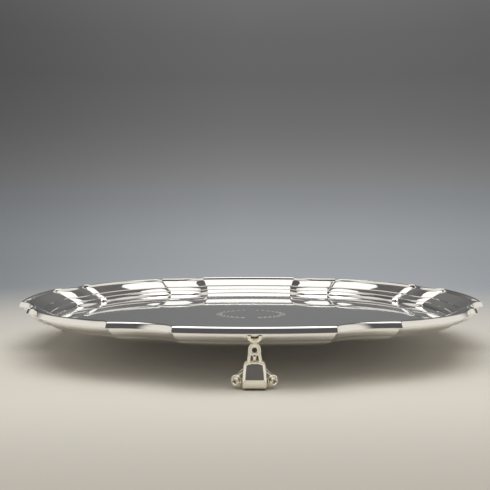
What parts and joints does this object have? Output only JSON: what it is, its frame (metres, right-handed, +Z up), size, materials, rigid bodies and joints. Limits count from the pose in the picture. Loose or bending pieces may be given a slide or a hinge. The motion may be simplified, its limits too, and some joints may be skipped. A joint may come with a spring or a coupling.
{
  "type": "footed salver",
  "caption": "Shallow round serving tray with a scalloped stepped border, a beaded rim and scroll feet, made in bright silver.",
  "frame": {"origin": "on the table, under the centre of the plate", "axes": "+Z up; the front foot points along -Y; +X to the right"},
  "size_m": [0.251, 0.251, 0.026],
  "materials": {
    "plate_silver": "mirror polished silver with fine wear scratches",
    "border_silver": "polished cast silver, slightly darker in the grooves",
    "foot_silver": "polished cast silver with tarnish in the hollows"
  },
  "bodies": {
    "root": {"field_plate": "plate_silver", "border_section_1": "border_silver", "border_section_2": "border_silver", "border_section_3": "border_silver", "border_section_4": "border_silver", "rim_wire_section_1": "border_silver", "rim_wire_section_2": "border_silver", "rim_wire_section_3": "border_silver", "rim_wire_section_4": "border_silver", "leg_front": "foot_silver", "shield_front": "foot_silver", "volutes_front": "foot_silver", "leg_rear_right": "foot_silver", "shield_rear_right": "foot_silver", "volutes_rear_right": "foot_silver", "leg_rear_left": "foot_silver", "shield_rear_left": "foot_silver", "volutes_rear_left": "foot_silver"}
  },
  "joints": []
}
